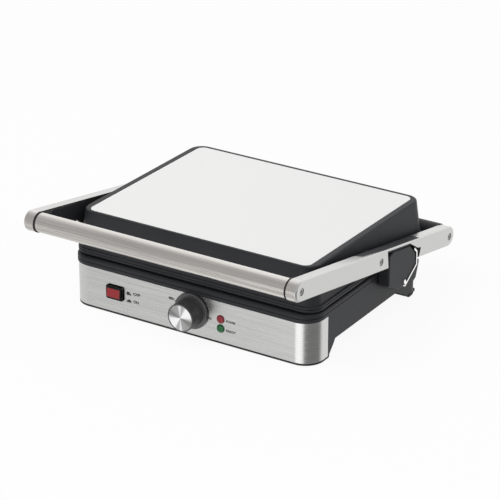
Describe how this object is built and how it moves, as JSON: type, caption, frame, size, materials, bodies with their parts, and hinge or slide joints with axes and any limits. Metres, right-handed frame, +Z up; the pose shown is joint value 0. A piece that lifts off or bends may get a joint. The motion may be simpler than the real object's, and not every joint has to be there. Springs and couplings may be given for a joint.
{
  "type": "contact grill",
  "caption": "Contact grill with a hinged floating lid on side arms, tube handle, ribbed hot plates, thermostat knob, rocker switch and lamps.",
  "frame": {"origin": "on the table, under the middle of the closed grill's bounding box", "axes": "+X to the grill's right seen from the front, +Y to the back (hinge), +Z up; the controls and handle face -Y"},
  "size_m": [0.364, 0.3651, 0.135],
  "materials": {
    "black_plastic": "fine grained moulding",
    "brushed_steel": "brushed along its length",
    "dark_sheet": "black paint",
    "zinc": "zinc plated steel",
    "rubber": "matte",
    "nonstick": "cast, with a dark non-stick coat",
    "element": "heat darkened",
    "bright_sheet": "bright folded sheet",
    "switch_black": "satin",
    "red_lens": "clear red lens",
    "green_lens": "clear green lens",
    "white_nylon": "natural nylon",
    "ceramic": "glazed",
    "arm_aluminium": "satin brushed",
    "tube_steel": "brushed along its length",
    "chrome_screw": "bright",
    "white_panel": "white gloss enamel",
    "knob_black": "satin",
    "spun_cap": "turned in fine circles",
    "red_rocker": "translucent red",
    "lever_steel": "polished steel strip"
  },
  "bodies": {
    "base": {"base_housing": "black_plastic", "front_panel": "brushed_steel", "bottom_cover": "dark_sheet", "cover_screws": "zinc", "rubber_feet": "rubber", "lower_plate": "nonstick", "lower_heating_element": "element", "lower_reflector": "bright_sheet", "lower_tray_screws": "zinc", "hinge_barrel": "black_plastic", "release_housing": "black_plastic", "switch_housing": "switch_black", "power_lamp": "red_lens", "ready_lamp": "green_lens", "lamp_holders": "white_nylon", "thermostat": "ceramic", "cord_gland": "rubber", "terminal_block": "white_nylon", "thermal_fuse": "ceramic"},
    "arms": {"arm_right": "arm_aluminium", "arm_left": "arm_aluminium", "arm_liner_right": "black_plastic", "arm_liner_left": "black_plastic", "handle_tube": "tube_steel", "handle_ring_right": "black_plastic", "handle_ring_left": "black_plastic", "handle_tie_rod": "zinc", "handle_screws": "chrome_screw", "pivot_screws": "chrome_screw", "hinge_screws": "chrome_screw", "pivot_pins": "zinc", "hinge_shaft": "zinc"},
    "lid": {"lid_frame": "black_plastic", "lid_panel": "white_panel", "upper_plate": "nonstick", "upper_heating_element": "element", "upper_reflector": "bright_sheet", "upper_tray_screws": "zinc"},
    "knob": {"knob_body": "knob_black", "knob_cap": "spun_cap", "thermostat_spindle": "zinc"},
    "rocker": {"rocker": "red_rocker"},
    "lever": {"release_lever": "lever_steel"}
  },
  "joints": [
    {"name": "arm_hinge", "type": "hinge", "parent": "base", "child": "arms", "pos_m": [0, 0.17005, 0.0589], "axis": [-1, 0, 0], "range_deg": [0, 176]},
    {"name": "lid_float", "type": "hinge", "parent": "arms", "child": "lid", "pos_m": [0, 0.00535, 0.0896], "axis": [-1, 0, 0], "range_deg": [0, 4]},
    {"name": "knob_turn", "type": "hinge", "parent": "base", "child": "knob", "pos_m": [0.0049, -0.11645, 0.0335], "axis": [0, 1, 0], "range_deg": [0, 200]},
    {"name": "rocker_tilt", "type": "hinge", "parent": "base", "child": "rocker", "pos_m": [-0.1018, -0.11545, 0.0289], "axis": [1, 0, 0], "range_deg": [0, 14]},
    {"name": "lever_pull", "type": "hinge", "parent": "base", "child": "lever", "pos_m": [0.178, 0.06267, 0.0432], "axis": [-1, 0, 0], "range_deg": [0, 6], "stiffness_Nm_per_rad": 0.2}
  ],
  "couplings": [
    {"joint": "lid_float", "follows": "arm_hinge", "ratio": 0.0227}
  ]
}
